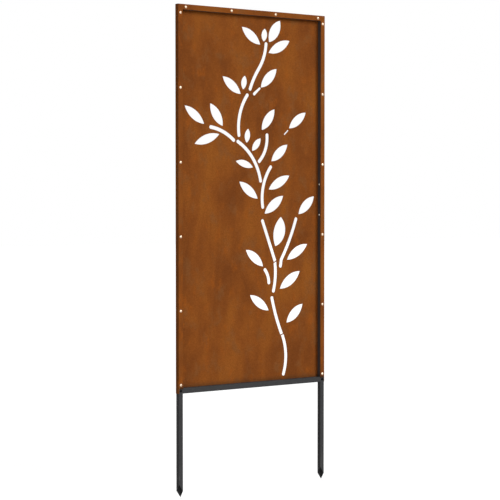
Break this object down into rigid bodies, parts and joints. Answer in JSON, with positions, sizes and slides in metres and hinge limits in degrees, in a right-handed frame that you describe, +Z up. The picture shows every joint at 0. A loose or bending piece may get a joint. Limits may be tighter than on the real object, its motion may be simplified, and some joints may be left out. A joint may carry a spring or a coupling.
{
  "type": "garden screen",
  "caption": "Free-standing garden screen: one folded rusted steel sheet with a leafy branch cut through it, on a black tube frame whose legs end in ground stakes.",
  "frame": {"origin": "level of the two stake points, midway between the legs, on the middle plane of the tubes", "axes": "+Z up along the legs, -Y towards the front that shows the screw heads, +X to the right seen from the front"},
  "size_m": [0.75, 0.0253, 2],
  "materials": {
    "rusted_sheet": "matt orange-brown rust, cloudy in upright streaks",
    "black_tube": "satin black powder coat",
    "zinc_insert": "zinc plated",
    "bright_screw": "bright, lightly brushed",
    "zinc_screw": "zinc plated",
    "black_bolt": "black oxide"
  },
  "bodies": {
    "root": {"screen_panel": "rusted_sheet", "left_upper_upright": "black_tube", "right_upper_upright": "black_tube", "left_stake_leg": "black_tube", "right_stake_leg": "black_tube", "left_splice_sleeve": "zinc_insert", "right_splice_sleeve": "zinc_insert", "top_bar": "black_tube", "left_corner_connector": "zinc_insert", "right_corner_connector": "zinc_insert", "crossbar": "black_tube", "left_crossbar_plug": "zinc_insert", "right_crossbar_plug": "zinc_insert", "left_panel_screws": "bright_screw", "right_panel_screws": "bright_screw", "top_panel_screws": "bright_screw", "left_splice_screws": "zinc_screw", "right_splice_screws": "zinc_screw", "crossbar_bolts": "black_bolt"}
  },
  "joints": []
}
